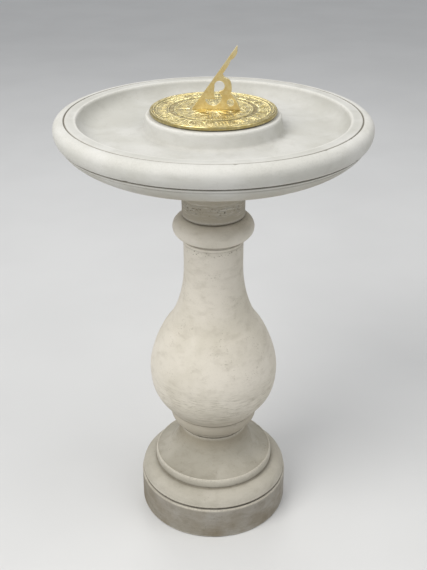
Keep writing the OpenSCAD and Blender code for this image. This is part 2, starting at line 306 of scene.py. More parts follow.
def casting_depth(points, bend, shown, seed, dents):
    """How far each point sinks below the CAD surface: waves, ripples, chipped edges and round dents"""
    rng = np.random.default_rng(seed)
    wave = 0.5 + 0.5 * soft_noise(points, WAVE_SIZE, seed)
    ripple = 0.5 + 0.5 * soft_noise(points, RIPPLE_SIZE, seed + 1)
    chip = soft_noise(points, CHIP_SIZE, seed + 2)
    chip += CHIP_ROUGHNESS * soft_noise(points, CHIP_GRAIN, seed + 3)
    chipped = ease((chip - CHIP_START) / CHIP_RANGE) * ease(-bend / CHIPPED_EDGE)
    depth = WAVE_DEPTH * wave + RIPPLE_DEPTH * ripple + CHIP_DEPTH * chipped
    where = rng.choice(np.flatnonzero(shown), dents)
    for spot, size in zip(where, rng.uniform(*DENT_SIZES, dents)):
        away = np.linalg.norm(points - points[spot], axis=1) / size
        depth += DENT_DEPTH * size * ease(1 - away)
    return depth * shown


def cast_stone(node, piece, seen, material):
    """A turned stone with the slight unevenness, chips and dents of a casting, in place of its CAD node"""
    segments, seed, dents = STONE_DETAIL[node]
    outline, closed = turned_outline(node)
    fine = scribed(smooth_outline(outline, closed), SCRIBE_Z, SCRIBE_R)
    rows = picked_rows(fine, closed, seen)
    r, z, out_r, out_z, bend, line = (np.repeat(column[:, None], segments, 1) for column in rows.T)
    angle = np.arange(segments) * 2 * math.pi / segments
    points = np.stack([r * np.cos(angle), r * np.sin(angle), z], -1).reshape(-1, 3)
    depth = casting_depth(points, bend.reshape(-1), seen(r, z).reshape(-1), seed, dents).reshape(r.shape)
    # Masks for the painted shade and dirt in creases and grooves, and the painted highlight on edges
    shade_and_highlight = {
        "crease": ease(bend / CREASE_DEPTH),
        "line": line,
        "edge": ease(-bend / EDGE_HEIGHT),
    }
    mesh = turned_mesh(piece, r - depth * out_r, z - depth * out_z, closed, shade_and_highlight)
    stone = bpy.data.objects.new(piece, mesh)
    bpy.context.scene.collection.objects.link(stone)
    stone.data.materials.append(material)
    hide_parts(node)
    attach(stone, "pedestal")
    return stone


# ---- Material helper ---------------------------------------------------------------------
class Shades:
    """Builds one material's nodes: each call adds a node and returns its output"""

    def __init__(self, name):
        self.material = bpy.data.materials.new(name)
        self.material.use_nodes = True
        self.tree = self.material.node_tree
        self.shader = self.tree.nodes["Principled BSDF"]

    def set(self, socket, value):
        if isinstance(value, bpy.types.NodeSocket):
            self.tree.links.new(value, socket)
        else:
            socket.default_value = value

    def add(self, kind, output, inputs, **settings):
        node = self.tree.nodes.new(kind)
        for key, value in settings.items():
            setattr(node, key, value)
        for key, value in inputs.items():
            self.set(node.inputs[key], value)
        return node.outputs[output]

    def place(self, stretch=(1, 1, 1)):
        """Object coordinates in metres, stretched along each axis"""
        where = self.add("ShaderNodeTexCoord", "Object", {})
        return self.add("ShaderNodeVectorMath", 0, {0: where, 1: stretch}, operation="MULTIPLY")

    def attribute(self, name):
        return self.add("ShaderNodeAttribute", "Fac", {}, attribute_name=name)

    def height(self):
        """The height above the ground, in metres"""
        return self.add("ShaderNodeSeparateXYZ", "Z", {0: self.place()})

    def noise(self, where, size, detail=3.0, rough=0.5, bend=0.0):
        """Clouds from 0 to 1 with bumps about size metres across"""
        return self.add("ShaderNodeTexNoise", "Fac", {
            "Vector": where, "Scale": 1 / size, "Detail": detail, "Roughness": rough, "Distortion": bend})

    def cells(self, where, size, spread=1.0):
        """The distance to the nearest of many points scattered about size metres apart"""
        return self.add("ShaderNodeTexVoronoi", "Distance",
                        {"Vector": where, "Scale": 1 / size, "Randomness": spread})

    def span(self, value, low, high, to_low=0.0, to_high=1.0):
        """Maps low..high smoothly to to_low..to_high"""
        return self.add("ShaderNodeMapRange", 0, {
            "Value": value, "From Min": low, "From Max": high, "To Min": to_low, "To Max": to_high,
        }, interpolation_type="SMOOTHSTEP")

    def math(self, operation, a, b=0.0):
        return self.add("ShaderNodeMath", 0, {0: a, 1: b}, operation=operation)

    def times(self, *values):
        total = values[0]
        for value in values[1:]:
            total = self.math("MULTIPLY", total, value)
        return total

    def plus(self, *values):
        total = values[0]
        for value in values[1:]:
            total = self.math("ADD", total, value)
        return total

    def mix(self, amount, a, b):
        """Colour a where amount is 0, and b where it is 1"""
        return self.add("ShaderNodeMix", 2, {0: amount, 6: a, 7: b}, data_type="RGBA")

    def finish(self, colour, rough, height_mm=None, metallic=0.0):
        """Joins the results to the shader, with height_mm as its bump, and returns the material"""
        self.set(self.shader.inputs["Base Color"], colour)
        self.set(self.shader.inputs["Roughness"], rough)
        self.set(self.shader.inputs["Metallic"], metallic)
        if height_mm is not None:
            facts = {"Height": height_mm, "Distance": MM, "Strength": 1.0}
            self.set(self.shader.inputs["Normal"], self.add("ShaderNodeBump", "Normal", facts))
        return self.material


# ---- Stone materials ---------------------------------------------------------------------
CLOUD_SIZE = 85 * MM
PATCH_SIZE = 24 * MM
SPECK_SIZE = 2.4 * MM
GRAIN_SIZE = 0.9 * MM
PIT_SPACING = 3.8 * MM
PIT_CLUSTER_SIZE = 6 * MM
PIT_PATCH_SIZE = 34 * MM
PIT_FADE = 3 * MM
DRAG_STRETCH = (62, 62, 640)
DRAG_PATCH_SIZE = 36 * MM
DRAG_FADE = 10 * MM
MOSS_SIZE = 60 * MM
SEAM_REACH = 3.4 * MM
SEAM_HEART = 0.8 * MM
SHADE_AND_SOIL_WANDER = 8 * MM
# Bump heights in millimetres
GRAIN_BUMP = 0.08
SPECK_BUMP = 0.16
PATCH_BUMP = 0.30
PIT_DEPTH = 0.9
DRAG_DEPTH = 0.9


def drag_marks(s, look, here, level):
    """Fine level scratches from the shaping of the mould, and how strongly they show at each place"""
    drag = s.noise(s.place(DRAG_STRETCH), 1.0, 3, 0.6)
    low, high = look["drag_levels"]
    band = s.times(s.span(level, low, low + DRAG_FADE), s.span(level, high, (low + high) / 2))
    shown = s.times(s.span(s.noise(here, DRAG_PATCH_SIZE, 2), 0.3, 0.55, 0.3, 1.0), band)
    return drag, shown


def pit_marks(s, look, here, level):
    """Small open pits, scattered in patches and dense between two levels"""
    patches = s.times(s.span(s.noise(here, PIT_PATCH_SIZE, 2), 0.52, 0.64), look["pits"])
    low, high = look["pit_levels"]
    above_low = s.span(level, low - PIT_FADE, low + PIT_FADE)
    band = s.times(above_low, s.span(level, high + PIT_FADE, high - PIT_FADE))
    pit = s.span(s.cells(s.place((1, 1, 1.8)), PIT_SPACING), 0.36, 0.20)
    cluster = s.span(s.noise(here, PIT_CLUSTER_SIZE, 1), 0.46, 0.56)
    return s.times(pit, cluster, s.math("MAXIMUM", patches, band))


def moss_amount(s, look, here, level):
    """How green-brown the stone is: in patches, and most near the ground"""
    near_ground = s.span(level, look["moss_top"], GROUND_Z, 0.0, 1.0)
    growth = s.span(s.noise(here, MOSS_SIZE, 5, 0.62), 0.38, 0.66)
    return s.times(growth, s.plus(s.times(near_ground, 0.55), 0.35), look["moss_amount"])


def stone_material(name, look):
    """Cast stone: clouded colour, stains, drag lines, pits, painted shade with a soiled tint between two
    levels, painted shade and grime in creases, grooves and seams, and painted highlights on edges
    """
    s = Shades(name)
    here = s.place()
    level = s.height()
    cloud = s.noise(here, CLOUD_SIZE, 4, 0.55, 0.3)
    patch = s.noise(s.place((1, 1, 2.1)), PATCH_SIZE, 5, 0.6, 0.3)
    speck = s.noise(here, SPECK_SIZE, 4, 0.65)
    grain = s.noise(here, GRAIN_SIZE, 2, 0.5)
    drag, drag_shown = drag_marks(s, look, here, level)
    pit = pit_marks(s, look, here, level)

    colour = s.mix(s.span(cloud, 0.36, 0.64), look["base"], look["pale"])
    # Painted shade with a warmer, soiled tint between two levels: under the bowl's rim and down its stem,
    # low on the baluster, and high on the foot under the baluster
    if "shade_and_soil" in look:
        wander = s.span(cloud, 0.3, 0.7, -SHADE_AND_SOIL_WANDER, SHADE_AND_SOIL_WANDER)
        shade_and_soil = s.span(s.plus(level, wander), look["shade_and_soil_top"], look["shade_and_soil_low"])
        colour = s.mix(shade_and_soil, colour, look["shade_and_soil"])
    colour = s.mix(s.times(s.span(patch, 0.46, 0.78), look["stain"]), colour, look["grey"])
    colour = s.mix(s.times(s.span(speck, 0.54, 0.74), look["speck"]), colour, look["dirt_and_shade"])
    colour = s.mix(s.times(s.span(drag, 0.50, 0.68), drag_shown, look["drag"]), colour, look["grey"])
    colour = s.mix(s.times(s.span(drag, 0.48, 0.34), drag_shown, look["drag"], 0.5), colour, look["pale_and_highlight"])
    colour = s.mix(s.times(pit, 0.8), colour, look["dirt_and_shade"])

    # Painted shade and dirt in the concave creases, patchy with the stain clouds
    crease = s.times(s.attribute("crease"), s.span(patch, 0.3, 0.6, 0.6, 1.0))
    colour = s.mix(s.times(crease, look["crease"]), colour, look["dirt_and_shade"])
    # Painted shade and dirt just above each stone's lower joint, and at the plinth's foot on the floor
    seam = s.times(s.span(level, look["seam"] + SEAM_REACH, look["seam"] + SEAM_HEART), look["seam_shade_and_dirt"])
    colour = s.mix(s.times(seam, s.span(speck, 0.3, 0.6, 0.6, 1.0)), colour, SEAM_SHADE_AND_DIRT)
    # Painted highlight on the convex edges, left off near the lower joint
    edge = s.times(s.attribute("edge"), s.span(speck, 0.35, 0.6, 0.5, 1.0), s.math("SUBTRACT", 1.0, seam))
    colour = s.mix(s.times(edge, look["edge"]), colour, look["pale_and_highlight"])
    # Painted shade and dirt along the cut grooves
    line = s.times(s.attribute("line"), s.span(speck, 0.3, 0.6, 0.75, 1.0))
    colour = s.mix(s.times(line, look["line"]), colour, GROOVE_SHADE_AND_DIRT)
    if "moss" in look:
        colour = s.mix(moss_amount(s, look, here, level), colour, look["moss"])

    height = s.plus(
        s.times(grain, GRAIN_BUMP), s.times(speck, SPECK_BUMP), s.times(patch, PATCH_BUMP),
        s.times(drag, drag_shown, -DRAG_DEPTH * look["drag"]), s.times(pit, -PIT_DEPTH))
    rough = s.span(patch, 0.3, 0.7, 0.74, 0.92)
    s.shader.inputs["Specular IOR Level"].default_value = 0.3
    return s.finish(colour, rough, height)


SEAM_SHADE_AND_DIRT = rgb(66, 58, 44)
GROOVE_SHADE_AND_DIRT = rgb(98, 90, 73)
BOWL_LOOK = {
    "base": rgb(190, 189, 182), "pale": rgb(202, 201, 196), "grey": rgb(176, 174, 166),
    "dirt_and_shade": rgb(128, 122, 108), "pale_and_highlight": rgb(232, 230, 224),
    "stain": 0.40, "drag": 0.8, "speck": 0.08, "pits": 0.15, "crease": 0.15, "line": 1.0, "edge": 0.45,
    "drag_levels": (STEM_Z + 4 * MM, STEM_Z + 44 * MM), "pit_levels": (STEM_Z + 15 * MM, STEM_Z + 26 * MM),
    "seam": STEM_Z, "seam_shade_and_dirt": 0.5,
    "shade_and_soil": rgb(173, 165, 148), "shade_and_soil_top": RIM_Z - 22 * MM, "shade_and_soil_low": RIM_Z - 84 * MM,
}
BALUSTER_LOOK = {
    "base": rgb(204, 198, 184), "pale": rgb(216, 210, 198), "grey": rgb(160, 152, 136),
    "dirt_and_shade": rgb(112, 102, 84), "pale_and_highlight": rgb(226, 220, 206),
    "stain": 0.30, "drag": 0.70, "speck": 0.14, "pits": 0.35,
    "crease": 0.55, "line": 0.3, "edge": 0.3, "seam": BALUSTER_Z, "seam_shade_and_dirt": 0.7,
    "drag_levels": (BALUSTER_Z + 36 * MM, BALUSTER_Z + 130 * MM),
    "pit_levels": (COLLAR_Z - 50 * MM, COLLAR_Z - 42 * MM),
    "shade_and_soil": rgb(164, 156, 140), "shade_and_soil_top": BALUSTER_Z + 92 * MM, "shade_and_soil_low": BALUSTER_Z,
}
FOOT_LOOK = {
    "base": rgb(163, 158, 145), "pale": rgb(177, 172, 160), "grey": rgb(136, 130, 116),
    "dirt_and_shade": rgb(100, 91, 74), "pale_and_highlight": rgb(216, 210, 196),
    "stain": 0.40, "drag": 0.2, "speck": 0.20, "pits": 0.35,
    "crease": 0.45, "line": 0.3, "edge": 0.6, "seam": FOOT_Z, "seam_shade_and_dirt": 1.0,
    "shade_and_soil": rgb(150, 142, 125), "shade_and_soil_top": FOOT_Z + 45 * MM, "shade_and_soil_low": FOOT_Z + 92 * MM,
    "drag_levels": (FOOT_Z, FOOT_Z + 20 * MM), "pit_levels": (GROUND_Z, GROUND_Z),
}
PLINTH_LOOK = {
    "base": rgb(146, 140, 128), "pale": rgb(161, 157, 149), "grey": rgb(122, 115, 102),
    "dirt_and_shade": rgb(84, 76, 58), "pale_and_highlight": rgb(204, 198, 184),
    "stain": 0.5, "drag": 0.2, "speck": 0.25, "pits": 0.35,
    "crease": 0.6, "line": 0.4, "edge": 0.9, "seam": GROUND_Z, "seam_shade_and_dirt": 0.6,
    "drag_levels": (GROUND_Z, FOOT_Z), "pit_levels": (GROUND_Z, GROUND_Z),
    "moss": rgb(118, 106, 84), "moss_top": 60 * MM, "moss_amount": 0.7,
}


# ---- Other materials -------------------------------------------------------------------------
SAND_SIZE = 1.2 * MM
MORTAR_CLOUD_SIZE = 12 * MM
TURNING_STRETCH = (60, 60, 2400)
OIL_SIZE = 9 * MM
TARNISH_SIZE = 28 * MM
BLOTCH_SIZE = 6 * MM
BRASS_GRAIN_SIZE = 0.7 * MM


def mortar_material():
    """Sandy mortar, darkest at the lowest joint and pale at the highest, where the paler tone is painted
    light that softens the shade in the joint
    """
    s = Shades("mortar")
    here = s.place()
    sand = s.noise(here, SAND_SIZE, 3, 0.7)
    cloud = s.noise(here, MORTAR_CLOUD_SIZE, 3)
    colour = s.mix(s.span(sand, 0.35, 0.65), rgb(96, 89, 76), rgb(132, 124, 108))
    colour = s.mix(s.times(s.span(cloud, 0.45, 0.7), 0.4), colour, rgb(78, 71, 58))
    colour = s.mix(s.span(s.height(), FOOT_Z + 30 * MM, FOOT_Z, 0.0, 0.7), colour, rgb(48, 42, 32))
    # Paler at the highest joint: painted light that softens the shade in its recess
    colour = s.mix(s.span(s.height(), COLLAR_Z - 40 * MM, COLLAR_Z, 0.0, 0.75), colour, rgb(158, 149, 131))
    return s.finish(colour, 0.95, s.times(sand, 0.5))


def plastic_material():
    s = Shades("packer_plastic")
    fine = s.noise(s.place(), 0.6 * MM, 2)
    colour = s.mix(s.span(fine, 0.3, 0.7), rgb(58, 62, 66), rgb(70, 74, 78))
    return s.finish(colour, s.span(fine, 0.3, 0.7, 0.42, 0.58), s.times(fine, 0.03))


def rubber_material():
    s = Shades("pad_rubber")
    fine = s.noise(s.place(), 0.9 * MM, 3, 0.6)
    dust = s.noise(s.place(), 14 * MM, 3)
    colour = s.mix(s.times(s.span(dust, 0.45, 0.7), 0.4), rgb(34, 33, 32), rgb(78, 75, 70))
    return s.finish(colour, s.span(fine, 0.3, 0.7, 0.75, 0.92), s.times(fine, 0.06))


def steel_material(name, bright, rough):
    """Machined steel with fine turning lines and a faint cloud of oil"""
    s = Shades(name)
    lines = s.noise(s.place(TURNING_STRETCH), 1.0, 2)
    cloud = s.noise(s.place(), OIL_SIZE, 3)
    dim = tuple(0.72 * v for v in bright[:3]) + (1.0,)
    colour = s.mix(s.times(s.span(cloud, 0.42, 0.68), 0.7), bright, dim)
    return s.finish(colour, s.span(lines, 0.3, 0.7, rough - 0.06, rough + 0.08), s.times(lines, 0.015), 1.0)


def brass_material(name, look):
    """Cast brass: polished on its high parts, dull and brown in its low ones, with a little tarnish"""
    s = Shades(name)
    here = s.place()
    cloud = s.noise(here, TARNISH_SIZE, 4, 0.6, 0.5)
    blotch = s.noise(here, BLOTCH_SIZE, 5, 0.62)
    fine = s.noise(here, BRASS_GRAIN_SIZE, 2)
    # The raised attribute gives the relief's height, and also marks painted highlights: the gnomon's eased
    # edges and a line on the plate rim
    low = s.span(s.attribute("raised"), look["low"], look["high"], 1.0, 0.0)
    colour = s.mix(s.span(blotch, 0.3, 0.7), look["bright"], look["warm"])
    colour = s.mix(s.times(s.span(cloud, 0.46, 0.70), look["tarnish"]), colour, look["olive"])
    colour = s.mix(s.times(low, s.span(blotch, 0.25, 0.6, 0.6, 1.0), look["recess"]), colour, look["dark"])
    rough = s.plus(s.span(blotch, 0.3, 0.7, look["rough"] - 0.05, look["rough"] + 0.09), s.times(low, 0.10))
    high = s.math("SUBTRACT", 1.0, s.times(low, 0.75))
    height = s.plus(s.times(fine, look["grain"]), s.times(blotch, look["pebble"], high))
    return s.finish(colour, rough, height, 1.0)


PLATE_LOOK = {
    "bright": rgb(252, 240, 186), "warm": rgb(242, 220, 146), "olive": rgb(176, 158, 100),
    "dark": rgb(104, 88, 46), "low": -0.35, "high": 0.75, "tarnish": 0.35, "recess": 0.88,
    "rough": 0.27, "grain": 0.02, "pebble": 0.20,
}
GNOMON_LOOK = {
    "bright": rgb(250, 240, 200), "warm": rgb(240, 222, 168), "olive": rgb(208, 188, 130),
    "dark": rgb(206, 184, 128), "low": 0.0, "high": 0.9, "tarnish": 0.45, "recess": 0.6,
    "rough": 0.42, "grain": 0.05, "pebble": 0.16,
}
FIXING_LOOK = {
    "bright": rgb(214, 188, 118), "warm": rgb(204, 174, 100), "olive": rgb(170, 144, 84),
    "dark": rgb(150, 124, 70), "low": -1.0, "high": -0.5, "tarnish": 0.4, "recess": 0.0,
    "rough": 0.30, "grain": 0.02, "pebble": 0.03,
}


# ---- Dial plate ----------------------------------------------------------------------------------
STYLE_RUN = 61.6 * MM
LATITUDE = math.atan2(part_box("gnomon")[1].z - FIELD_Z, STYLE_RUN)
PLATE_SEGMENTS = 660
FIELD_ROWS = 150
FIELD_START = 0.4 * MM
UNDERSIDE_R = 60 * MM
# The raised rim: a dull rounded crown with one groove, and a painted highlight line on its inner edge
RIM_WIDTH = 7 * MM
RIM_BULGE = 1.8 * MM
RIM_STEP = 1.3 * MM
RIM_DULL = 0.1
RIM_GROOVE_AT = 3.2 * MM
RIM_GROOVE_WIDTH = 0.5 * MM
RIM_GROOVE_DEPTH = 0.35 * MM
RIM_HIGHLIGHT_AT = 1.6 * MM
RIM_HIGHLIGHT_WIDTH = 0.7 * MM
# The relief. A shape is its half-width, the width of its sloping side, and its height in parts of RELIEF.
RELIEF = 0.75 * MM
RING_LINES = (  # radius and shape
    (79.8 * MM, (0.5 * MM, 0.5 * MM, 0.9)),
    (63.2 * MM, (0.6 * MM, 0.5 * MM, 0.9)),
    (54.8 * MM, (0.6 * MM, 0.5 * MM, 0.9)),
    (30.0 * MM, (0.5 * MM, 0.5 * MM, 0.6)),
)
RING_IN = 55.6 * MM
RING_OUT = 62.4 * MM
RING_SINK = 0.20 * MM
RING_SIDE = 1.2 * MM
TICK_IN = 77.2 * MM
TICK_OUT = 79.8 * MM
TICK = (0.45 * MM, 0.4 * MM, 0.8)
HOUR_TICK = (0.8 * MM, 0.4 * MM, 0.8)
DIAMOND = (0.5 * MM, 1.0 * MM, 0.9)
DIAMOND_SLOPE = 0.55
NUMERAL_R = 70.4 * MM
NUMERAL_H = 11.4 * MM
NUMERAL_REACH = (14 * MM, 8 * MM)
STROKE = (1.2 * MM, 0.5 * MM, 1.2)
DOT = (1.5 * MM, 0.9 * MM, 0.9)
PETAL = (1.0 * MM, 0.8 * MM, 1.0)
PETAL_LENGTH = 4.8 * MM
PETAL_SLOPE = 0.10
GAP_MARGIN = math.radians(9)
ROSE_WAIST = 12 * MM
ROSE_POINTS = (  # count, direction of the first, reach, half-width, height
    (8, 22.5, 34 * MM, 4.6 * MM, 0.8),
    (4, 45, 44 * MM, 6.0 * MM, 0.95),
    (4, 0, 52 * MM, 7.0 * MM, 1.1),
)
CURLS = 16
CURL_PLACES = (41.0 * MM, 43.5 * MM)
CURL_R = 4.4 * MM
CURL_START = 38 * MM
CURL = (0.45 * MM, 0.6 * MM, 0.75)
CURL_HEART = (0.9 * MM, 0.8 * MM, 0.7)
BEADS = 96
BEAD_PLACE = 52.2 * MM
BEAD = (0.7 * MM, 0.6 * MM, 0.7)
CAST_WAVE = 6.5 * MM
CAST_GRAIN = 2.2 * MM
CAST_DEPTH = 0.12 * MM
# Beside the gnomon's foot and past its ends the field stays flat, and then rises to the full relief
FOOT_SIDE = 3.2 * MM
FOOT_SIDE_RISE = 1.2 * MM
FOOT_END = 2 * MM
FOOT_END_RISE = 1.5 * MM
# Hours are counted from noon
FIRST_HOUR = -8
LAST_HOUR = 8
# Width of each letter, and its strokes as ax, ay, bx, by and weight, in numeral heights
GLYPHS = {
    "I": (0.40, [(0.0, 0.0, 0.0, 1.0, 1.0)]),
    "V": (0.78, [(-0.32, 1.0, 0.0, 0.0, 1.0), (0.32, 1.0, 0.0, 0.0, 0.5)]),
    "X": (0.78, [(-0.32, 1.0, 0.32, 0.0, 1.0), (0.32, 1.0, -0.32, 0.0, 0.5)]),
}
NUMERALS = {1: "I", 2: "II", 3: "III", 4: "IIII", 5: "V", 6: "VI", 7: "VII", 8: "VIII",
            9: "IX", 10: "X", 11: "XI", 12: "XII"}


def raised(distance, shape):
    """The height of a raised shape, from the distance to its middle"""
    half, side, tall = shape
    return tall * RELIEF * ease((half + side - distance) / side)


def to_stroke(x, y, ax, ay, bx, by):
    """The distance from points to a straight stroke"""
    ux, uy = bx - ax, by - ay
    t = np.clip(((x - ax) * ux + (y - ay) * uy) / (ux * ux + uy * uy), 0, 1)
    return np.hypot(x - ax - t * ux, y - ay - t * uy)


def hour_angle(hours):
    """Where the line of so many hours after noon crosses the ring of numerals, as the clockwise angle
    at the plate's centre from +X, which points north"""
    turn = math.radians(15 * hours)
    line = math.atan2(math.sin(LATITUDE) * math.sin(turn), math.cos(turn))
    toe = -TOE_X
    reach = toe * math.cos(line) + math.sqrt(NUMERAL_R**2 - (toe * math.sin(line)) ** 2)
    return math.atan2(reach * math.sin(line), TOE_X + reach * math.cos(line))


def numeral_strokes(text):
    """The strokes of a Roman numeral about its middle: ax, ay, bx, by and weight, in numeral heights"""
    wide = sum(GLYPHS[c][0] for c in text)
    at = -wide / 2
    strokes = []
    for c in text:
        advance, lines = GLYPHS[c]
        middle = at + advance / 2
        strokes += [(middle + ax, ay - 0.5, middle + bx, by - 0.5, w) for ax, ay, bx, by, w in lines]
        at += advance
    for end in (-0.5, 0.5):
        strokes.append((-wide / 2 + 0.04, end, wide / 2 - 0.04, end, 0.42))
    return strokes


class Relief:
    """Heights of the casting above the plate's field at polar points; shapes are stamped over each other"""

    def __init__(self, radius, angle):
        self.radius = radius
        self.angle = angle
        self.height = np.zeros_like(radius)

    def from_ray(self, mark):
        """How far each point lies along the ray at angle mark, and how far from it"""
        turn = self.angle - mark
        return self.radius * np.cos(turn), np.abs(self.radius * np.sin(turn))

    def stamp(self, values):
        np.maximum(self.height, values, out=self.height)


def ring_lines(relief):
    for ring, shape in RING_LINES:
        relief.stamp(raised(np.abs(relief.radius - ring), shape))


def hour_marks(relief):
    """A tick for each quarter of an hour, and a diamond between each two numerals"""
    for quarter in range(4 * FIRST_HOUR, 4 * LAST_HOUR + 1):
        along, across = relief.from_ray(hour_angle(quarter / 4))
        inside = (along > 0) & (relief.radius > TICK_IN) & (relief.radius < TICK_OUT)
        relief.stamp(raised(across, TICK if quarter % 4 else HOUR_TICK) * inside)
        if quarter % 4 == 2:
            relief.stamp(raised(np.abs(along - NUMERAL_R) * DIAMOND_SLOPE + across, DIAMOND))


def hour_numerals(relief):
    """The hours, clockwise seen from above, with noon on +X"""
    half, side, tall = STROKE
    for hour in range(FIRST_HOUR, LAST_HOUR + 1):
        turn = relief.angle + hour_angle(hour)
        u = -relief.radius * np.sin(turn)
        v = relief.radius * np.cos(turn) - NUMERAL_R
        near = (np.abs(u) < NUMERAL_REACH[0]) & (np.abs(v) < NUMERAL_REACH[1])
        un = u[near] / NUMERAL_H
        vn = v[near] / NUMERAL_H
        best = relief.height[near]
        for ax, ay, bx, by, weight in numeral_strokes(NUMERALS[(hour + 11) % 12 + 1]):
            away = to_stroke(un, vn, ax, ay, bx, by) * NUMERAL_H
            best = np.maximum(best, raised(away, (half * weight, side, tall)))
        relief.height[near] = best


def south_ornament(relief):
    """Dots and petals where a dial has no hours"""
    gap = math.pi - hour_angle(LAST_HOUR) - GAP_MARGIN
    for n in range(-4, 5):
        along, across = relief.from_ray(math.pi + gap * n / 4)
        if n % 2:
            relief.stamp(raised(np.hypot(along - NUMERAL_R, across), DOT))
        else:
            end = np.abs(along - NUMERAL_R)
            relief.stamp(raised(across + PETAL_SLOPE * end, PETAL) * (end < PETAL_LENGTH))


def compass_rose(relief):
    """Ridged points, widest at the waist and sharp at both ends, the longest last"""
    for count, start, reach, wide, tall in ROSE_POINTS:
        for n in range(count):
            along, across = relief.from_ray(math.radians(start + n * 360 / count))
            half = wide * np.minimum(along / ROSE_WAIST, (reach - along) / (reach - ROSE_WAIST))
            ridge = RELIEF * tall * np.clip((half - across) / wide * 1.5, 0, 1)
            relief.stamp(np.where(along > 0, ridge, 0))


def curls_and_beads(relief):
    for n in range(CURLS):
        along, across = relief.from_ray((n + 0.5) * 2 * math.pi / CURLS)
        away = np.hypot(along - CURL_PLACES[n % 2], across)
        relief.stamp(raised(np.abs(away - CURL_R), CURL) * (relief.radius > CURL_START))
        relief.stamp(raised(away, CURL_HEART))
    turn = (relief.angle * BEADS / (2 * math.pi)) % 1 - 0.5
    bead = np.hypot(turn * 2 * math.pi * BEAD_PLACE / BEADS, relief.radius - BEAD_PLACE)
    relief.stamp(raised(bead, BEAD))


def dial_relief(radius, angle):
    """The height of the casting's relief above the plate's field, at polar points"""
    relief = Relief(radius, angle)
    for ornament in (ring_lines, hour_marks, hour_numerals, south_ornament, compass_rose, curls_and_beads):
        ornament(relief)
    height = relief.height
    band = np.abs(radius - (RING_IN + RING_OUT) / 2) - (RING_OUT - RING_IN) / 2
    height -= RING_SINK * ease(-band / RING_SIDE)
    x = radius * np.cos(angle)
    y = radius * np.sin(angle)
    flat = np.stack([x, y, np.zeros_like(x)], -1).reshape(-1, 3)
    cast = soft_noise(flat, CAST_WAVE, 31) + 0.25 * soft_noise(flat, CAST_GRAIN, 32)
    height += CAST_DEPTH * cast.reshape(x.shape)
    beside = ease((np.abs(y) - FOOT_SIDE) / FOOT_SIDE_RISE)
    beyond = np.maximum(TOE_X - FOOT_END - x, x - HEEL_X - FOOT_END)
    height *= np.maximum(beside, ease(beyond / FOOT_END_RISE))
    return np.minimum(height, PLATE_TOP - FIELD_Z)


def plate_rim():
    """The rim's radii and heights, from where the field ends outward, and each row's brightness, with a
    painted highlight line near the field
    """
    start = PLATE_R - RIM_WIDTH
    flat_r = np.linspace(start, PLATE_R - RIM_BULGE, 12)[1:]
    groove = np.exp(-(((flat_r - start - RIM_GROOVE_AT) / RIM_GROOVE_WIDTH) ** 2))
    # A painted highlight line near the rim's inner edge
    line = np.exp(-(((flat_r - start - RIM_HIGHLIGHT_AT) / RIM_HIGHLIGHT_WIDTH) ** 2))
    rise = (PLATE_TOP - FIELD_Z) * ease((flat_r - start) / RIM_STEP)
    flat_z = FIELD_Z + rise - RIM_GROOVE_DEPTH * groove
    turn = np.radians(np.linspace(90, -90, 13)[1:])
    side_r = PLATE_R - RIM_BULGE + RIM_BULGE * np.cos(turn)
    side_z = (PLATE_TOP + PLATE_Z) / 2 + (PLATE_TOP - PLATE_Z) / 2 * np.sin(turn)
    tone_and_highlight = np.concatenate([RIM_DULL + line - 0.5 * groove, np.full(len(turn), RIM_DULL)])
    return np.concatenate([flat_r, side_r]), np.concatenate([flat_z, side_z]), tone_and_highlight


def dial_plate(material):
    """The cast plate: relief field, raised rounded rim, and the hub underneath"""
    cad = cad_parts["dial_plate"].data
    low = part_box("dial_plate")[0].z
    hub_r = max(math.hypot(v.co.x, v.co.y) for v in cad.vertices if v.co.z < low + 0.1 * MM)
    field_r = np.linspace(FIELD_START, PLATE_R - RIM_WIDTH, FIELD_ROWS)
    rim_r, rim_z, tone_and_highlight = plate_rim()
    hub = [(hub_r, PLATE_Z), (hub_r, low), (STUD_R, low), (STUD_R, STUD_TOP)]
    under = np.array([(UNDERSIDE_R, PLATE_Z), *hub])
    rows = np.column_stack([
        np.concatenate([field_r, rim_r, under[:, 0]]),
        np.concatenate([np.full(FIELD_ROWS, FIELD_Z), rim_z, under[:, 1]]),
        np.concatenate([np.zeros(FIELD_ROWS), tone_and_highlight, np.full(len(under), RIM_DULL)]),
    ])
    radius, height, bright = (np.repeat(column[:, None], PLATE_SEGMENTS, 1) for column in rows.T)
    angle = np.arange(PLATE_SEGMENTS) * 2 * math.pi / PLATE_SEGMENTS
    field = radius[:FIELD_ROWS]
    lift = dial_relief(field, angle[None, :] + np.zeros_like(field))
    height[:FIELD_ROWS] += lift
    bright[:FIELD_ROWS] = lift / RELIEF
    mesh = turned_mesh("dial_casting", radius[::-1], height[::-1], False, {"raised": bright[::-1]})
    plate = bpy.data.objects.new("dial_casting", mesh)
    bpy.context.scene.collection.objects.link(plate)
    mesh.materials.append(material)
    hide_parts("dial_plate")
    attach(plate, "dial")
    return plate


# ---- Gnomon ------------------------------------------------------------------------------------------
GNOMON_BEVEL = 0.5 * MM


def flat_loops(node, side_y):
    """The closed outlines (x, z) of a CAD node's flat face at y = side_y"""
    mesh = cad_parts[node].data
    where = [(round(v.co.x, 6), round(v.co.z, 6)) for v in mesh.vertices]
    uses = {}
    for face in mesh.polygons:
        if abs(face.normal.y) > 0.99 and abs(face.center.y - side_y) < 0.1 * MM:
            corners = [where[v] for v in face.vertices]
            for a, b in zip(corners, corners[1:] + corners[:1]):
                uses[(a, b)] = uses.get((a, b), 0) + 1
    after = {a: b for a, b in uses if (b, a) not in uses}
    loops = []
    while after:
        loop = [next(iter(after))]
        while loop[-1] in after:
            loop.append(after.pop(loop[-1]))
        loops.append(np.array(loop[:-1]))
    return loops


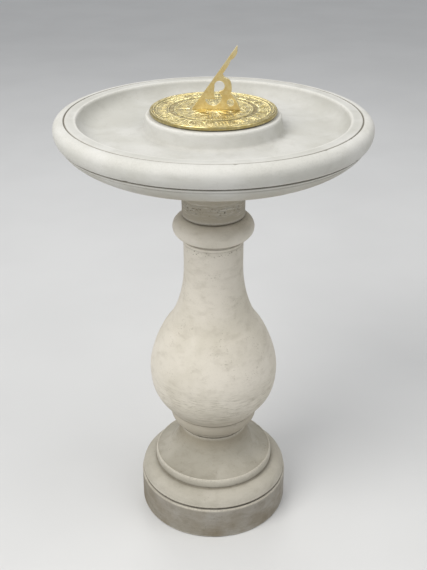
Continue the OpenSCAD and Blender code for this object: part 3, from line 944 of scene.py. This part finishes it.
def gnomon(material):
    """The pierced casting with its edges eased and a painted highlight on them"""
    curve = bpy.data.curves.new("gnomon_outline", "CURVE")
    curve.dimensions = "2D"
    curve.fill_mode = "BOTH"
    curve.bevel_depth = GNOMON_BEVEL
    curve.offset = -GNOMON_BEVEL
    curve.bevel_resolution = 3
    curve.extrude = GNOMON_T / 2 - GNOMON_BEVEL
    loops = flat_loops("gnomon", GNOMON_T / 2)
    for loop in loops:
        spline = curve.splines.new("POLY")
        spline.points.add(len(loop) - 1)
        for point, (x, z) in zip(spline.points, loop):
            point.co = (x, z, 0, 1)
        spline.use_cyclic_u = True
    shape = bpy.data.objects.new("gnomon_curve", curve)
    bpy.context.scene.collection.objects.link(shape)
    shape.rotation_euler = (math.pi / 2, 0, 0)
    bpy.context.view_layer.update()
    mesh = bpy.data.meshes.new_from_object(shape.evaluated_get(bpy.context.evaluated_depsgraph_get()))
    mesh.transform(shape.matrix_world)
    bpy.data.objects.remove(shape)
    # The eased edges are marked for a painted highlight, the flat faces for the darker tone
    tone_and_highlight = [1.0 if abs(v.co.y) < GNOMON_T / 2 - 0.1 * MM else 0.0 for v in mesh.vertices]
    mesh.attributes.new("raised", "FLOAT", "POINT").data.foreach_set("value", tone_and_highlight)
    casting = bpy.data.objects.new("gnomon_casting", mesh)
    bpy.context.scene.collection.objects.link(casting)
    mesh.materials.clear()
    mesh.materials.append(material)
    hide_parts("gnomon")
    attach(casting, "dial")
    return casting


# ---- Build ---------------------------------------------------------------------------------------------
def finish_node(node, material):
    """Gives a CAD node that stays as it is its material"""
    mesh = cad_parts[node].data
    mesh.materials.clear()
    mesh.materials.append(material)


def add_camera():
    """The view of the reference picture: from the front, just above the bowl, looking down"""
    data = bpy.data.cameras.new("camera")
    data.sensor_width = CAMERA_SENSOR
    data.lens = CAMERA_LENS
    camera = bpy.data.objects.new("camera", data)
    bpy.context.scene.collection.objects.link(camera)
    camera.location = (
        CAMERA_DISTANCE * math.sin(CAMERA_AZIMUTH),
        -CAMERA_DISTANCE * math.cos(CAMERA_AZIMUTH),
        RIM_Z + CAMERA_ABOVE_RIM,
    )
    camera.rotation_euler = Euler((math.pi / 2 - CAMERA_PITCH, 0, CAMERA_AZIMUTH), "XYZ")
    bpy.context.scene.camera = camera


def add_light(name, size, energy, place, target, colour=(1, 1, 1)):
    """A round soft light, size metres across and energy watts, turned to its target"""
    data = bpy.data.lights.new(name, "AREA")
    data.shape = "DISK"
    data.size = size
    data.energy = energy
    data.color = colour
    light = bpy.data.objects.new(name, data)
    light.location = place
    light.rotation_euler = (Vector(target) - Vector(place)).to_track_quat("-Z", "Y").to_euler()
    bpy.context.scene.collection.objects.link(light)


def add_stage():
    """A plain pale floor and an even, soft surround"""
    bpy.ops.mesh.primitive_plane_add(size=FLOOR_SIZE, location=(0, 0, GROUND_Z))
    floor = bpy.context.active_object
    floor.name = "floor"
    s = Shades("floor")
    tone = s.noise(s.place(), 0.4, 3)
    colour = s.mix(s.span(tone, 0.3, 0.7), (0.66, 0.66, 0.655, 1), (0.69, 0.69, 0.685, 1))
    floor.data.materials.append(s.finish(colour, 0.9))
    world = bpy.data.worlds.new("world")
    world.use_nodes = True
    world.node_tree.nodes["Background"].inputs["Color"].default_value = (0.95, 0.97, 1.0, 1)
    world.node_tree.nodes["Background"].inputs["Strength"].default_value = 0.5
    bpy.context.scene.world = world


bpy.context.scene.view_settings.view_transform = "Standard"
add_camera()
add_stage()
add_light("key", 2.0, 65, (-1.35, -1.5, 2.6), (0, 0, 0.45), (1.0, 0.985, 0.955))
add_light("fill", 2.0, 22, (1.7, -0.6, 2.7), (0, 0, 0.5), (1.0, 0.985, 0.96))
add_light("back", 1.1, 11, (-0.35, 2.0, 2.3), (0, 0, 0.6))

bowl_stone = stone_material("bowl_stone", BOWL_LOOK)
baluster_stone = stone_material("baluster_stone", BALUSTER_LOOK)
foot_stone = stone_material("foot_stone", FOOT_LOOK)
plinth_stone = stone_material("plinth_stone", PLINTH_LOOK)
cast_stone("plinth", "stone_plinth", stone_side(PLINTH_CORE), plinth_stone)
cast_stone("foot", "stone_foot", stone_side(FOOT_CORE), foot_stone)
cast_stone("baluster", "stone_baluster", stone_side(BALUSTER_CORE), baluster_stone)
cast_stone("bowl", "stone_bowl", bowl_side, bowl_stone)

mortar = mortar_material()
for bed in ("lower_bed", "middle_bed", "upper_bed"):
    finish_node(bed, mortar)
plastic = plastic_material()
for packers in ("lower_packers", "middle_packers", "upper_packers"):
    finish_node(packers, plastic)
stainless = steel_material("stainless", rgb(206, 208, 210), 0.26)
for steel_part in ("lower_dowel", "middle_dowel", "tube_dowel", "thrust_washer", "stud_nut"):
    finish_node(steel_part, stainless)
finish_node("spring_washer", steel_material("spring_steel", rgb(150, 150, 152), 0.34))
finish_node("pad_ring", rubber_material())
fixing_brass = brass_material("fixing_brass", FIXING_LOOK)
for brass_part in ("stud_sleeve", "dial_stud", "lock_nut", "gnomon_screws"):
    finish_node(brass_part, fixing_brass)
dial_plate(brass_material("plate_brass", PLATE_LOOK))
gnomon(brass_material("gnomon_brass", GNOMON_LOOK))
